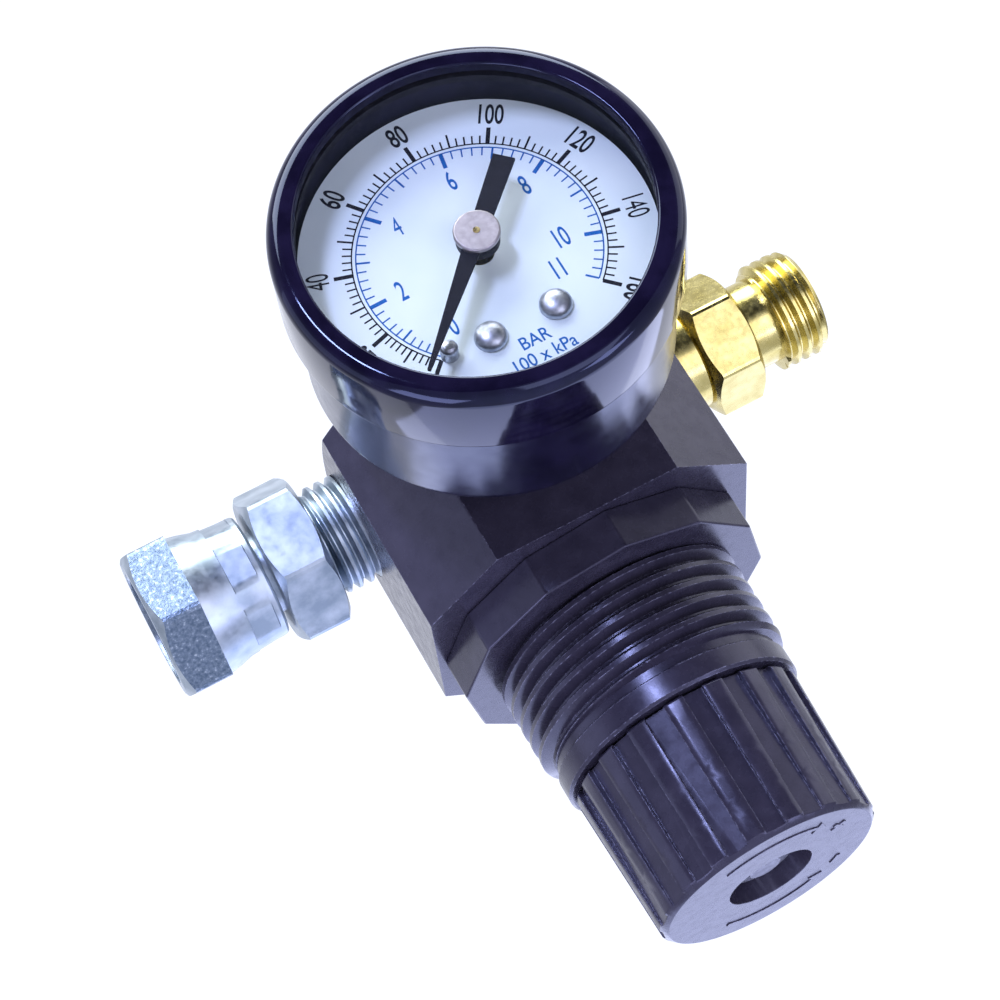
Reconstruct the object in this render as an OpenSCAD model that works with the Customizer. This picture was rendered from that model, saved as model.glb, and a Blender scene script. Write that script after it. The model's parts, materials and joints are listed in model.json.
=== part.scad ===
// Inline air pressure regulator with a front gauge, a push-to-lock knob and two pipe fittings.
// Millimetres. Origin: centre of the bonnet's mounting shoulder, where the panel thread starts.
// +Z points from the knob to the valve plug, -Y is the gauge's face, +X is the inlet.

/* [Body] */
// Height of the port and gauge axes above the mounting shoulder
axis_h = 26; // [24:0.5:28]
// Distance from the spring axis to each port face
body_half_w = 19.7; // [19:0.1:21]
// Distance from the spring axis to the front face, which carries the gauge
body_front = 20; // [20:0.1:21]
// Distance from the spring axis to the rear face
body_rear = 15.3; // [15:0.1:16]
// Half width of the front face, between its two corner chamfers
face_half_w = 11; // [9:0.5:12]
// Front edge of the port faces, where the front corner chamfers start
port_front = 12.4; // [11:0.1:13]
// Rear edge of the port faces, where the rear corner chamfers start
port_rear = 7; // [6:0.1:8]
// Lower rim of the body
body_z0 = 5; // [5:0.1:5.5]
// Top of the port block, inside its turned chamfer
body_z1 = 34; // [33.5:0.5:36]
// Radius of the round boss above the port block
boss_r = 11; // [10:0.5:12]
// Top of that boss
boss_z1 = 38; // [37.5:0.5:39]

/* [Bonnet] */
// Radius over the corners of the twelve-sided flange
flange_r = 19; // [18:0.1:19.4]
// Radius of the panel thread, over its crests
panel_r = 15.08; // [14.5:0.01:15.4]
// Length of the panel thread
panel_len = 11.6; // [9:0.1:12]
// Radius of the smooth neck below the thread
neck_r = 14.4; // [14:0.1:14.8]
// Lower end of the neck
neck_z = -15.5; // [-16.2:0.1:-15]
// Radius of the spring cavity
cavity_r = 11.2; // [11:0.1:11.4]
// Thickness of the floor that carries the adjusting screw
floor_t = 3; // [2.5:0.1:4]

/* [Knob] */
// Lower end of the knob
knob_z0 = -33.9; // [-34.4:0.1:-33.5]
// Radius over the ribs at the top rim
knob_top_r = 13.9; // [13.6:0.1:14]
// Radius over the ribs at the lower end
knob_end_r = 13.3; // [13:0.1:13.6]
// Number of ribs
knob_ribs = 18; // [12:1:24]
// Depth of the flats between the ribs
rib_depth = 0.25; // [0.15:0.05:0.5]
// How far the knob pulls down to unlock
knob_pull = 2; // [1.5:0.1:2.2]

/* [Adjusting screw and springs] */
// Radius of the adjusting screw
screw_r = 3; // [2.9:0.05:3.1]
// Radial clearance of the running fits
run_gap = 0.05; // [0.03:0.01:0.08]
// Radius of the range spring's wire
range_wire_r = 0.8; // [0.6:0.05:0.8]
// Radius of the valve spring's wire
valve_wire_r = 0.35; // [0.25:0.05:0.4]

/* [Pipe fittings] */
// Radius of the quarter-inch pipe threads, over the crests
pipe_r = 6.55; // [6.5:0.05:6.7]
// Radius of the female thread in the swivel nut, over its crests
female_r = 6.05; // [6:0.01:6.1]
// Outer end of the brass inlet fitting
inlet_end = 39.8; // [38:0.1:42]
// Width across flats of the brass hex
brass_af = 14.3; // [14:0.1:16]
// Width across flats of the steel fitting's hex
steel_af = 17; // [16:0.5:17.5]
// Width across flats of the swivel nut
nut_af = 17.4; // [17:0.1:18]
// Outer end of the swivel nut
nut_end = 45.6; // [45:0.1:47]

/* [Gauge] */
// Outer radius of the bezel
bezel_r = 21.3; // [20.8:0.1:21.5]
// Inner radius of the bezel's lip
lip_r = 18.4; // [17.5:0.1:18.5]
// Outer radius of the case
case_r = 20; // [19.8:0.1:20.2]
// Distance from the spring axis to the bezel's front
gauge_front = 50.9; // [50.4:0.1:51.2]
// Distance from the spring axis to the back of the case
gauge_back = 26; // [25.5:0.1:26.5]
// Distance from the spring axis to the dial's printed face
dial_d = 43.8; // [43.4:0.1:44.4]

/* [Gauge movement] */
// Tooth module
tooth_module = 0.2; // [0.2:0.01:0.2]
// Teeth of the pinion
pinion_teeth = 12; // [12:1:12]
// Teeth that a whole sector wheel would have
sector_teeth = 72; // [72:1:72]
// Sweep of the pointer in degrees
pointer_sweep = 270; // [250:5:270]

/* [Hidden] */
$fn = 96;

// Widths across flats become corner radii through this factor
hex_corner = 1 / cos(30) / 2;
// Overshoot of a cutting shape past the face it opens
over = 0.5;

// Colours of the real finishes
black_plastic = "#22222b";
gloss_black = "#0b0b12";
zinc_steel = "#b9c3cf";
brass_yellow = "#b99a3e";
rubber_black = "#1a1a1a";
dial_white = "#eef3fa";

// Diaphragm chamber and valve chamber, heights above the shoulder
spigot_r = 13.4;
spigot_z1 = 9.5;
rim_r = 12.9;
rim_z1 = 10.9;
chamber_r = 10.4;
chamber_z1 = 13.4;
seat_z0 = 15.5;
seat_z1 = 17;
seat_r = 3.8;
orifice_r = 2.6;
valve_r = 6;
plug_z0 = 33;
plug_r = 7.5;
plug_seal_r = 8.9;
plug_seal_z0 = 36.6;

// Ports
inlet_bore_end = 10.5;
outlet_bore_end = 11.5;
passage_r = 3.2;
cross_r = 1.3;
cross_offset = 8.6;
seal_groove_r = 8.3;
seal_groove_x = 16.5;
seal_groove_w = 1.8;
gauge_thread_r = 4.86;
gauge_thread_end = 11.8;
rear_thread_end = 10;
gauge_passage_r = 0.8;
gauge_cross = 8.2;
// Radial gap of a screwed thread, and the gap past a fitting's inner end
thread_gap = 0.02;
seat_gap = 0.1;
hex_turned_off = 0.45;

// Inlet fitting, distances along the port axis
inlet_shoulder_r = 6.2;
inlet_hex_x = 24.3;
inlet_neck_x = 30.8;
inlet_neck_r = 5.25;
inlet_thread_x = 34;
inlet_seal_r = 0.82;
mouth_bevel = 1.1;

// Outlet fitting and its swivel nut, distances along the port axis
outlet_hex_x = 24.7;
outlet_neck_x = 31.2;
outlet_neck_r = 5;
outlet_bore_r = 2.6;
nose_x = 35.9;
nose_end = 36.9;
nut_start = 31.9;
crimp_r = 7.15;
cup_x = 34.6;
cup_r = 6.3;
ring_x = 34.9;
ring_r = 5.9;
ring_t = 0.8;
female_x = 37;
nut_hex_x = 40.1;

// Bonnet
flange_turn = 5.6;
flange_sides = 12;
floor_z1 = -10;
guide_r = 11.4;
guide_z0 = -21;
guide_bore_r = 8.4;
key_w = 2;
key_depth = 1;
key_z1 = 2;

// Regulating pieces
collar_r = 5.5;
collar_t = 1.8;
screw_top = 4.5;
hex_end_z = -31.5;
screw_end_z = -32.7;
stub_r = 1.9;
clip_r = 3.8;
clip_t = 0.6;
range_spring_r = 6.8;
nut_z0 = -7.6;
nut_z1 = -4.4;
nut_hub_r = 5;
nut_hub_z1 = -2;
plate_z0 = 7.6;
plate_r = 7.8;
rivet_r = 1.55;
membrane_z1 = 10.4;
stem_r = 1.1;
stem_z0 = 12.05;
disc_r = 4.2;
disc_z1 = 19;
stem_flange_r = 4.4;
stem_flange_z1 = 20.5;
guide_stem_r = 1.6;
guide_stem_z1 = 31.5;
valve_spring_r = 3.4;
plug_nose_r = 5.4;
plug_nose_z0 = 29;

// Knob
knob_gap = 0.3;
knob_top_z = neck_z - knob_gap;
knob_bore_r = 11.75;
knob_web_z = -31.7;
knob_hub_r = 7.4;
knob_hub_z1 = -22.5;
knob_hole_r = 5.1;
knob_hole_z = hex_end_z + knob_pull;
rib_phase = -97;
rib_share = 0.5;

// Gauge, distances forward of the spring axis
inset_gap = 0.2;
washer_t = 0.8;
socket_af = 12;
socket_neck_r = 5.5;
socket_bore_r = 1.5;
socket_block_t = 3.2;
case_hole_r = 5.6;
case_t = 0.6;
case_front = 47.6;
window_r = 19.9;
gasket_w = 1.4;
window_d0 = 48.6;
window_d1 = 49.6;
skirt_d = 41;
skirt_gap = 0.05;
dial_t = 0.5;
dial_r = 18.8;
screw_x = 3.75;
screw_drop = 9.5;
front_plate_d0 = 39.2;
front_plate_d1 = 40.2;
back_plate_d0 = 31.2;
back_plate_d1 = 32;
pinion_r = pinion_teeth * tooth_module / 2;
sector_r = sector_teeth * tooth_module / 2;
sector_drop = pinion_r + sector_r;
sector_sweep = pointer_sweep * pinion_teeth / sector_teeth;
arbor_r = 0.75;
arbor_tip_r = 0.35;
sector_arbor_r = 0.6;
pillar_x = 5.2;
pillar_drop = 9.6;
pillar_top = 4.6;
pillar_r = 1;
tail_r = 2.8;
tail_pin_r = 0.4;
sector_d0 = 36.4;
sector_d1 = 37.2;
link_d0 = 35.2;
link_d1 = 35.8;
link_x = -2.7;
tube_r = 13.6;
tube_w = 4.6;
tube_t = 1.6;
tube_mid_d = 34.5;
tube_root_angle = -45;
tube_sweep = 300;
tip_x = -2.1;
tip_drop = 12.2;
pointer_d = 47.1;
pointer_t = 0.4;
arbor_end = 48.15;
pinion_d0 = 35.6;
pinion_w = 2.4;
hairspring_d = 38.5;
hairspring_w = 0.4;
tail_half_w = 0.9;

// ---- helpers -------------------------------------------------------------------------------

// Local +Z runs forward (-Y) from the given distance in front of the spring axis
module forward(distance) {
  translate([0, -distance, axis_h]) rotate([90, 0, 0]) children();
}

// Local +Z runs along +X from the given place on the port axis
module toward_inlet(x) {
  translate([x, 0, axis_h]) rotate([0, 90, 0]) children();
}

// Local +Z runs along -X from the given distance on the port axis
module toward_outlet(x) {
  translate([-x, 0, axis_h]) rotate([0, -90, 0]) children();
}

module tube_shape(outer, inner, height) {
  difference() {
    cylinder(r = outer, h = height);
    translate([0, 0, -over]) cylinder(r = inner, h = height + 2 * over);
  }
}

// Hex bar with its corners turned off at 30 degrees on the ends that are asked for, down to a
// circle that lies turned_off inside the flats
module turned_hex(across_flats, height, turn, chamfer_low, chamfer_high, turned_off = 0.15) {
  corner = across_flats * hex_corner;
  flat = across_flats / 2 - turned_off;
  reach = corner + 1;
  rise = (reach - flat) * tan(30);
  intersection() {
    rotate([0, 0, turn]) cylinder(r = corner, h = height, $fn = 6);
    rotate_extrude() polygon([
      [0, 0], [chamfer_low ? flat : reach, 0], [reach, chamfer_low ? rise : 0],
      [reach, height - (chamfer_high ? rise : 0)], [chamfer_high ? flat : reach, height],
      [0, height]
    ]);
  }
}

// Points of a coil spring's wire centre line: closed end turns, even pitch between them
function coil_z(t, turns, wire, z0, z1) =
  let (closed = 0.75, end_rise = closed * 2.06 * wire, low = z0 + wire, high = z1 - wire)
  t < closed ? low + end_rise * t / closed :
  t > turns - closed ? high - end_rise * (turns - t) / closed :
  low + end_rise + (high - low - 2 * end_rise) * (t - closed) / (turns - 2 * closed);

module coil_spring(mean_r, wire, z0, z1, turns) {
  per_turn = 20;
  sides = 6;
  rings = round(turns * per_turn);
  points = [
    for (i = [0 : rings], j = [0 : sides - 1])
      let (around = 360 * i / per_turn, section = 360 * j / sides,
           radius = mean_r + wire * cos(section))
      [radius * cos(around), radius * sin(around),
       coil_z(i / per_turn, turns, wire, z0, z1) + wire * sin(section)]
  ];
  skin = [
    for (i = [0 : rings - 1], j = [0 : sides - 1])
      let (a = i * sides + j, b = i * sides + (j + 1) % sides)
      for (face = [[a, a + sides, b + sides], [a, b + sides, b]]) face
  ];
  start = [for (j = [0 : sides - 1]) j];
  finish = [for (j = [sides - 1 : -1 : 0]) rings * sides + j];
  polyhedron(points, concat(skin, [start, finish]));
}

// ---- pressure-holding group ----------------------------------------------------------------

module body_outline() {
  polygon([
    [-face_half_w, -body_front], [face_half_w, -body_front],
    [body_half_w, -port_front], [body_half_w, port_rear],
    [face_half_w, body_rear], [-face_half_w, body_rear],
    [-body_half_w, port_rear], [-body_half_w, -port_front]
  ]);
}

// Port block whose upper corners are turned off at 30 degrees
module port_block() {
  chamfer_r = 18.6;
  corner_r = 24;
  intersection() {
    translate([0, 0, body_z0]) linear_extrude(body_z1 - body_z0) body_outline();
    rotate_extrude() polygon([
      [0, body_z0], [corner_r, body_z0], [corner_r, body_z1 - (corner_r - chamfer_r) * tan(30)],
      [chamfer_r, body_z1], [0, body_z1]
    ]);
  }
}

// Gauge port in a face at the given distance, with its passage toward the cross drilling
module gauge_port(face, inner_end) {
  translate([0, 0, inner_end]) cylinder(r = gauge_thread_r, h = face - inner_end + over);
  translate([0, 0, gauge_cross])
    cylinder(r = gauge_passage_r, h = inner_end - gauge_cross + over);
}

module body() {
  color(black_plastic) difference() {
    union() {
      port_block();
      translate([0, 0, body_z1]) cylinder(r = boss_r, h = boss_z1 - body_z1);
    }
    // Bonnet thread, rim seat, diaphragm chamber, orifice, valve chamber around its raised seat,
    // plug thread and seal recess
    rotate_extrude() polygon([
      [0, body_z0 - over], [spigot_r, body_z0 - over], [spigot_r, spigot_z1], [rim_r, spigot_z1],
      [rim_r, rim_z1], [chamber_r, rim_z1], [chamber_r, chamber_z1], [orifice_r, chamber_z1],
      [orifice_r, seat_z1], [seat_r, seat_z1], [seat_r, seat_z0], [valve_r, seat_z0],
      [valve_r, plug_z0], [plug_r, plug_z0], [plug_r, plug_seal_z0], [plug_seal_r, plug_seal_z0],
      [plug_seal_r, boss_z1 + over], [0, boss_z1 + over]
    ]);
    // Inlet: thread, seal groove and passage into the valve chamber
    toward_inlet(inlet_bore_end) cylinder(r = pipe_r, h = body_half_w - inlet_bore_end + over);
    toward_inlet(seal_groove_x) cylinder(r = seal_groove_r, h = seal_groove_w);
    toward_inlet(valve_r - 1) cylinder(r = passage_r, h = inlet_bore_end - valve_r + 2);
    // Outlet: thread and the passage down to the diaphragm chamber
    toward_outlet(outlet_bore_end) cylinder(r = pipe_r, h = body_half_w - outlet_bore_end + over);
    toward_outlet(cross_offset - cross_r)
      cylinder(r = cross_r, h = outlet_bore_end - cross_offset + 2 * cross_r);
    translate([-cross_offset, 0, chamber_z1 - over])
      cylinder(r = cross_r, h = axis_h - chamber_z1 + over);
    // Front and rear gauge ports, with a drilling each down to the diaphragm chamber
    forward(0) gauge_port(body_front, gauge_thread_end);
    rotate([0, 0, 180]) forward(0) gauge_port(body_rear, rear_thread_end);
    for (side = [-1, 1]) translate([0, side * gauge_cross, chamber_z1 - over])
      cylinder(r = gauge_passage_r, h = axis_h - chamber_z1 + over);
  }
}

module bonnet() {
  core_z = floor_z1 - floor_t;
  color(black_plastic) {
    rotate_extrude() polygon([
      [screw_r + run_gap, floor_z1], [cavity_r, floor_z1], [cavity_r, spigot_z1],
      [spigot_r, spigot_z1], [spigot_r, body_z0 - 1], [panel_r, body_z0 - 1],
      [panel_r, -panel_len], [neck_r, -panel_len], [neck_r, neck_z], [guide_r, neck_z],
      [guide_r, guide_z0], [guide_bore_r, guide_z0], [guide_bore_r, core_z],
      [screw_r + run_gap, core_z]
    ]);
    difference() {
      rotate([0, 0, flange_turn]) cylinder(r = flange_r, h = body_z0, $fn = flange_sides);
      translate([0, 0, -over]) cylinder(r = spigot_r - 1, h = body_z0 + 2 * over);
    }
    // Two keys that stop the spring nut from turning
    for (turn = [0, 180]) rotate([0, 0, turn])
      translate([cavity_r - key_depth, -key_w / 2, floor_z1 - over])
        cube([key_depth + over, key_w, key_z1 - floor_z1 + over]);
  }
}

module valve_plug() {
  hex_h = 3.5;
  guide_depth = 5;
  color(brass_yellow) difference() {
    union() {
      translate([0, 0, plug_nose_z0]) cylinder(r = plug_nose_r, h = plug_z0 - plug_nose_z0);
      translate([0, 0, plug_z0]) cylinder(r = plug_r - run_gap, h = boss_z1 - plug_z0);
      translate([0, 0, boss_z1]) turned_hex(steel_af, hex_h, 0, false, true);
    }
    translate([0, 0, plug_nose_z0 - over])
      cylinder(r = guide_stem_r + run_gap, h = guide_depth + over);
  }
}

module plug_o_ring() {
  cord_r = (plug_seal_r - plug_r) / 2 - 0.02;
  color(rubber_black) translate([0, 0, (plug_seal_z0 + boss_z1) / 2])
    rotate_extrude() translate([(plug_seal_r + plug_r - run_gap) / 2, 0]) circle(r = cord_r, $fn = 24);
}

module rear_port_plug() {
  inset = 0.2;
  key_af = 5;
  key_deep = 3;
  plug_len = body_rear - rear_thread_end - 2 * inset;
  color(zinc_steel) rotate([0, 0, 180]) forward(rear_thread_end + inset) difference() {
    cylinder(r = gauge_thread_r - thread_gap, h = plug_len);
    translate([0, 0, plug_len - key_deep])
      cylinder(r = key_af * hex_corner, h = key_deep + over, $fn = 6);
  }
}

// ---- pipe fittings -------------------------------------------------------------------------

module inlet_nipple() {
  color(brass_yellow) difference() {
    union() {
      toward_inlet(inlet_bore_end + seat_gap)
        cylinder(r = pipe_r - thread_gap, h = body_half_w - inlet_bore_end - seat_gap);
      toward_inlet(body_half_w) cylinder(r = inlet_shoulder_r, h = inlet_hex_x - body_half_w);
      toward_inlet(inlet_hex_x)
        turned_hex(brass_af, inlet_neck_x - inlet_hex_x, 25.3, true, true, hex_turned_off);
      toward_inlet(inlet_neck_x) cylinder(r = inlet_neck_r, h = inlet_thread_x - inlet_neck_x);
      toward_inlet(inlet_thread_x) cylinder(r = pipe_r, h = inlet_end - inlet_thread_x);
    }
    toward_inlet(inlet_bore_end - over) cylinder(r = passage_r, h = inlet_end);
    toward_inlet(inlet_end - mouth_bevel)
      cylinder(r1 = passage_r, r2 = passage_r + mouth_bevel + 0.1, h = mouth_bevel + 0.1);
  }
}

module inlet_o_ring() {
  color(rubber_black) toward_inlet(seal_groove_x + seal_groove_w / 2)
    rotate_extrude() translate([(pipe_r + seal_groove_r) / 2, 0]) circle(r = inlet_seal_r, $fn = 24);
}

module outlet_nipple() {
  color(zinc_steel) difference() {
    union() {
      toward_outlet(outlet_bore_end + seat_gap)
        cylinder(r = pipe_r - thread_gap, h = outlet_hex_x - outlet_bore_end - seat_gap);
      toward_outlet(outlet_hex_x)
        turned_hex(steel_af, outlet_neck_x - outlet_hex_x, -7.2, true, true);
      toward_outlet(outlet_neck_x) cylinder(r = outlet_neck_r, h = nose_x - outlet_neck_x);
      toward_outlet(nose_x) cylinder(r1 = outlet_neck_r, r2 = outlet_neck_r - 1, h = nose_end - nose_x);
    }
    toward_outlet(outlet_bore_end - over) cylinder(r = outlet_bore_r, h = nose_end);
  }
}

module nut_ring() {
  color(zinc_steel) toward_outlet(ring_x) tube_shape(ring_r, outlet_neck_r, ring_t);
}

module swivel_nut() {
  crimp_len = 3.2;
  bevel = 0.7;
  color(zinc_steel) difference() {
    union() {
      toward_outlet(nut_start) rotate_extrude() polygon([
        [0, 0], [7.1, 0], [7.4, 0.3], [7.85, 5.1], [8.7, 7.4], [8.7, nut_hex_x - nut_start],
        [0, nut_hex_x - nut_start]
      ]);
      toward_outlet(nut_hex_x)
        turned_hex(nut_af, nut_end - nut_hex_x, 4.7, false, true, hex_turned_off);
    }
    // Six crimped flats around the collar
    for (turn = [0 : 60 : 300]) toward_outlet(nut_start + 0.9) rotate([0, 0, turn + 21])
      translate([crimp_r, -4, 0]) cube([2, 8, crimp_len]);
    toward_outlet(nut_start - over)
      cylinder(r = outlet_neck_r + run_gap, h = cup_x - nut_start + 2 * over);
    toward_outlet(cup_x) cylinder(r = cup_r, h = female_x - cup_x);
    toward_outlet(female_x - over) cylinder(r = female_r, h = nut_end - female_x + 2 * over);
    toward_outlet(nut_end - bevel)
      cylinder(r1 = female_r, r2 = female_r + bevel + 0.1, h = bevel + 0.1);
  }
}

// ---- regulating group ----------------------------------------------------------------------

module adjusting_knob() {
  height = knob_top_z - knob_z0;
  rib_pitch = 360 / knob_ribs;
  flat_w = 2 * PI * knob_top_r * (1 - rib_share) / knob_ribs;
  end_bevel = 0.7;
  top_bevel = 0.3;
  hex_gap = 0.08;
  color(black_plastic) difference() {
    translate([0, 0, knob_z0]) rotate_extrude() polygon([
      [0, 0], [knob_end_r - end_bevel, 0], [knob_end_r, end_bevel],
      [knob_top_r, height - top_bevel], [knob_top_r - top_bevel, height], [0, height]
    ]);
    for (i = [0 : knob_ribs - 1]) rotate([0, 0, rib_phase + (i + 0.5) * rib_pitch])
      translate([knob_end_r - rib_depth, -flat_w / 2, knob_z0 - over])
        cube([2, flat_w, height + 2 * over]);
    // Room for the bonnet's guide, around the hub, and the recess and hex hole of the screw
    difference() {
      translate([0, 0, knob_web_z]) cylinder(r = knob_bore_r, h = height);
      translate([0, 0, knob_web_z - over])
        cylinder(r = knob_hub_r, h = knob_hub_z1 - knob_web_z + over);
    }
    translate([0, 0, knob_z0 - over]) cylinder(r = knob_hole_r, h = knob_hole_z - knob_z0 + over);
    translate([0, 0, knob_hole_z - over]) cylinder(r = screw_r + hex_gap, h = height, $fn = 6);
  }
}

module adjusting_screw() {
  color(zinc_steel) {
    translate([0, 0, floor_z1 + collar_t]) cylinder(r = screw_r, h = screw_top - floor_z1 - collar_t);
    translate([0, 0, floor_z1]) cylinder(r = collar_r, h = collar_t);
    translate([0, 0, floor_z1 - floor_t]) cylinder(r = screw_r, h = floor_t);
    translate([0, 0, hex_end_z]) cylinder(r = screw_r, h = floor_z1 - floor_t - hex_end_z, $fn = 6);
    translate([0, 0, screw_end_z]) cylinder(r = stub_r, h = hex_end_z - screw_end_z);
  }
}

// Snap ring that keeps the knob on the screw
module knob_clip() {
  slit = 1.6;
  color(zinc_steel) translate([0, 0, hex_end_z - clip_t]) difference() {
    cylinder(r = clip_r, h = clip_t);
    translate([0, 0, -over]) cylinder(r = stub_r, h = clip_t + 2 * over);
    translate([0, -slit / 2, -over]) cube([clip_r + 1, slit, clip_t + 2 * over]);
  }
}

module spring_nut() {
  wall_gap = 0.3;
  key_gap = 0.4;
  color(brass_yellow) difference() {
    union() {
      translate([0, 0, nut_z0]) cylinder(r = cavity_r - wall_gap, h = nut_z1 - nut_z0);
      translate([0, 0, nut_z1]) cylinder(r = nut_hub_r, h = nut_hub_z1 - nut_z1);
    }
    translate([0, 0, nut_z0 - over])
      cylinder(r = screw_r + run_gap, h = nut_hub_z1 - nut_z0 + 2 * over);
    for (turn = [0, 180]) rotate([0, 0, turn])
      translate([cavity_r - key_depth - key_gap, -key_w / 2 - wall_gap, nut_z0 - over])
        cube([2 * key_depth, key_w + 2 * wall_gap, nut_z1 - nut_z0 + 2 * over]);
  }
}

module range_spring() {
  color(zinc_steel) coil_spring(range_spring_r, range_wire_r, nut_z1, plate_z0, 4);
}

// Disc under the diaphragm, with a ring that centres the range spring
module diaphragm_plate() {
  ring_inner = 5;
  ring_outer = 5.8;
  ring_h = 1.2;
  color("silver") rotate_extrude() polygon([
    [rivet_r, plate_z0], [ring_inner, plate_z0], [ring_inner, plate_z0 - ring_h],
    [ring_outer, plate_z0 - ring_h], [ring_outer, plate_z0],
    [plate_r, plate_z0], [plate_r, spigot_z1], [rivet_r, spigot_z1]
  ]);
}

// Hollow rivet that clamps the diaphragm to its plate; the valve stem closes its vent hole
module relief_seat() {
  head_t = 1;
  flange_t = 1.2;
  nose_t = 0.4;
  vent_r = 0.7;
  color(brass_yellow) difference() {
    union() {
      translate([0, 0, plate_z0 - head_t]) cylinder(r = 2.4, h = head_t);
      translate([0, 0, plate_z0]) cylinder(r = rivet_r, h = membrane_z1 - plate_z0);
      translate([0, 0, membrane_z1]) cylinder(r = 2.6, h = flange_t);
      translate([0, 0, membrane_z1 + flange_t]) cylinder(r1 = 1.5, r2 = 1.2, h = nose_t);
    }
    translate([0, 0, plate_z0 - head_t - over])
      cylinder(r = vent_r, h = membrane_z1 - plate_z0 + head_t + flange_t + nose_t + 2 * over);
  }
}

module diaphragm() {
  color(rubber_black) rotate_extrude() polygon([
    [rivet_r + 0.02, spigot_z1], [7.9, spigot_z1], [9, 10.7], [10.2, spigot_z1],
    [rim_r - 0.05, spigot_z1], [rim_r - 0.05, rim_z1], [10.5, rim_z1], [10.2, 10.9], [9, 11.6],
    [7.7, membrane_z1], [rivet_r + 0.02, membrane_z1]
  ]);
}

module valve_stem() {
  color(brass_yellow) {
    translate([0, 0, stem_z0]) cylinder(r = stem_r, h = disc_z1 - stem_z0);
    translate([0, 0, disc_z1]) cylinder(r = stem_flange_r, h = stem_flange_z1 - disc_z1);
    translate([0, 0, stem_flange_z1]) cylinder(r = guide_stem_r, h = guide_stem_z1 - stem_flange_z1);
  }
}

module valve_disc() {
  color(rubber_black) translate([0, 0, seat_z1]) tube_shape(disc_r, stem_r, disc_z1 - seat_z1);
}

module valve_spring() {
  color(zinc_steel) coil_spring(valve_spring_r, valve_wire_r, stem_flange_z1, plug_nose_z0, 6);
}

// ---- gauge ---------------------------------------------------------------------------------

module gauge_socket() {
  thread_d0 = gauge_thread_end + inset_gap;
  hex_d0 = body_front + washer_t;
  block_d = back_plate_d0 - socket_block_t;
  post_sink = 0.5;
  color(brass_yellow) difference() {
    union() {
      forward(thread_d0) cylinder(r = gauge_thread_r - thread_gap, h = hex_d0 - thread_d0 + over);
      forward(hex_d0) turned_hex(socket_af, gauge_back - hex_d0, 24, true, false);
      forward(gauge_back - 1) cylinder(r = socket_neck_r, h = back_plate_d0 - gauge_back + 1);
      // Arm and post that hold the tube's fixed end
      forward(block_d) rotate([0, 0, tube_root_angle]) translate([0, -2.5, 0])
        cube([tube_r + 1.4, 5, socket_block_t]);
      forward(block_d + post_sink) rotate([0, 0, tube_root_angle]) translate([tube_r - 1.4, -2.3, 0])
        cube([2.6, 2.3, tube_mid_d + tube_w / 2 - block_d - 0.1]);
    }
    forward(gauge_thread_end - over)
      cylinder(r = socket_bore_r, h = back_plate_d0 - gauge_thread_end - 1.5);
  }
}

module socket_washer() {
  color("#d8d4c8") forward(body_front) tube_shape(6.3, gauge_thread_r, washer_t);
}

module gauge_case() {
  depth = case_front - gauge_back;
  bend = 2;
  outer_bend = [for (a = [0 : 15 : 90]) [case_r - bend + bend * sin(a), bend - bend * cos(a)]];
  inner_bend = [
    for (a = [90 : -15 : 0])
      [case_r - bend + (bend - case_t) * sin(a), bend - (bend - case_t) * cos(a)]
  ];
  color(gloss_black) forward(gauge_back) rotate_extrude() polygon(concat(
    [[case_hole_r, 0]], outer_bend, [[case_r, depth], [case_r - case_t, depth]], inner_bend,
    [[case_hole_r, case_t]]
  ));
}

module gauge_bezel() {
  depth = gauge_front - skirt_d;
  inner = case_r + skirt_gap;
  round_r = 1.6;
  rim = [
    for (a = [0 : 15 : 90])
      [bezel_r - round_r + round_r * cos(a), depth - round_r + round_r * sin(a)]
  ];
  color(gloss_black) forward(skirt_d) rotate_extrude() polygon(concat(
    [[inner, 0], [bezel_r - 0.3, 0], [bezel_r, 0.3]], rim,
    [[lip_r + 0.8, depth], [lip_r, window_d1 - skirt_d + 0.3], [lip_r, window_d1 - skirt_d],
     [inner, window_d1 - skirt_d]]
  ));
}

module gauge_window() {
  color([0.85, 0.92, 0.97, 0.3]) forward(window_d0) cylinder(r = window_r, h = window_d1 - window_d0);
}

module window_gasket() {
  color(rubber_black) forward(case_front) tube_shape(window_r, window_r - gasket_w, window_d0 - case_front);
}

module gauge_dial() {
  color(dial_white) forward(dial_d - dial_t) difference() {
    cylinder(r = dial_r, h = dial_t);
    translate([0, 0, -over]) cylinder(r = 1.6, h = dial_t + 2 * over);
    for (side = [-1, 1]) translate([side * screw_x, -screw_drop, -over])
      cylinder(r = 0.85, h = dial_t + 2 * over);
  }
}

// Domed screw through the dial into the front plate
module dial_screw(side) {
  head_r = 1.75;
  shank_r = 0.8;
  head_d = dial_d - front_plate_d0;
  color(zinc_steel) forward(front_plate_d0) translate([side * screw_x, -screw_drop, 0])
    rotate_extrude() polygon(concat(
      [[0, 0], [shank_r, 0], [shank_r, head_d], [head_r, head_d]],
      [for (a = [10 : 20 : 90]) [head_r * cos(a), head_d + 0.2 + sin(a)]]
    ));
}

module dial_screw_left() {
  dial_screw(-1);
}

module dial_screw_right() {
  dial_screw(1);
}

module stop_pin() {
  pin_r = 0.95;
  pin_h = 1.4;
  color(zinc_steel) forward(dial_d) translate([-8.3, -9.2, 0]) rotate_extrude() polygon(concat(
    [[0, 0], [pin_r, 0], [pin_r, pin_h]],
    [for (a = [20 : 20 : 80]) [pin_r * cos(a), pin_h + 0.6 * sin(a)]],
    [[0, pin_h + 0.6]]
  ));
}

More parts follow.
